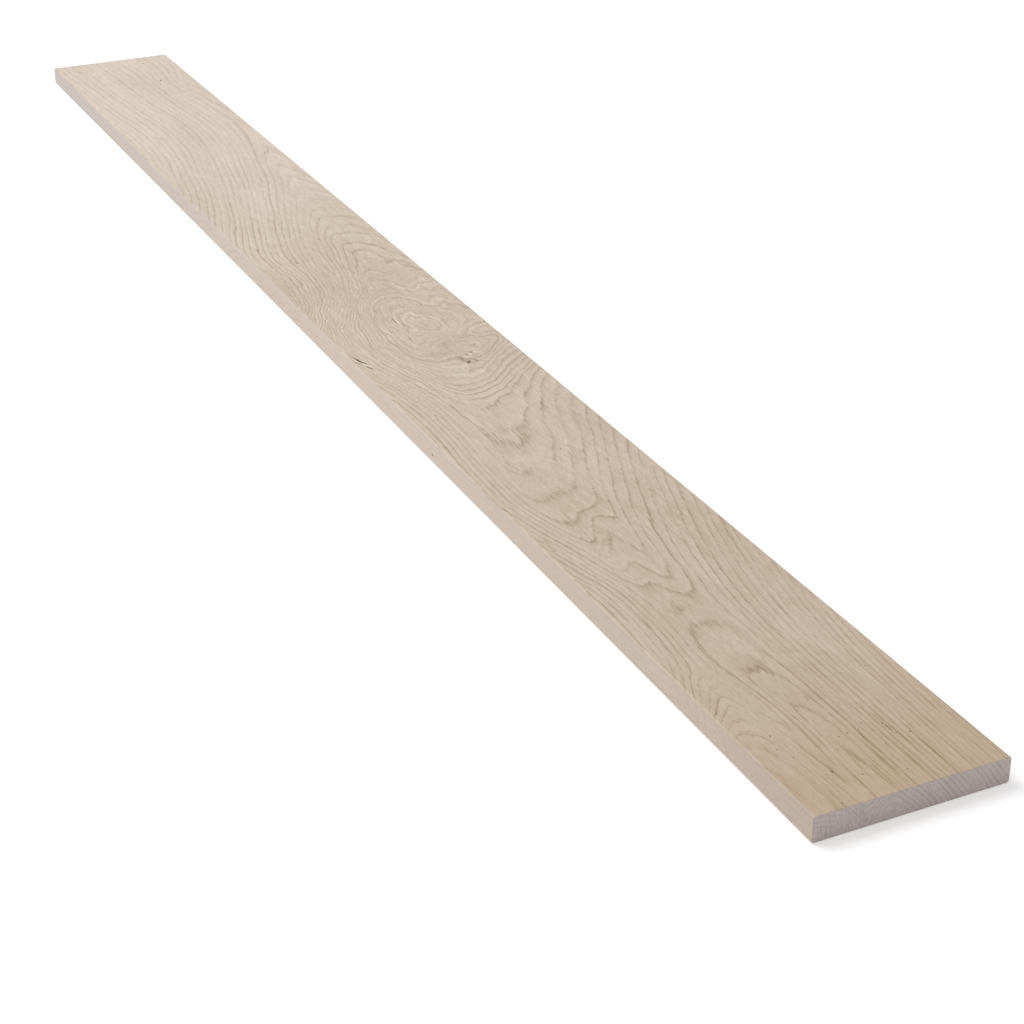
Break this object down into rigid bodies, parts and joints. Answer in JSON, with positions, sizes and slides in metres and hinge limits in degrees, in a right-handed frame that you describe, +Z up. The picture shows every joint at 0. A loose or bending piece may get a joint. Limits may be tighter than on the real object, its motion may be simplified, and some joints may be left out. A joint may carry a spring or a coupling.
{
  "type": "oak plank",
  "caption": "Long flat planed oak board with softly rounded long edges and square sawn ends, a piece of stock for shelves, steps, table tops and trim.",
  "frame": {"origin": "middle of the underside, on the surface that the plank lies on", "axes": "+X along the length, towards the end that is nearer in the picture; +Y across the width; +Z up, out of the wide upper face"},
  "size_m": [1.8, 0.15, 0.02],
  "materials": {
    "oak": "planed and unfinished, matt, with open grain, small knots and fine drying checks"
  },
  "bodies": {
    "root": {"plank": "oak"}
  },
  "joints": []
}
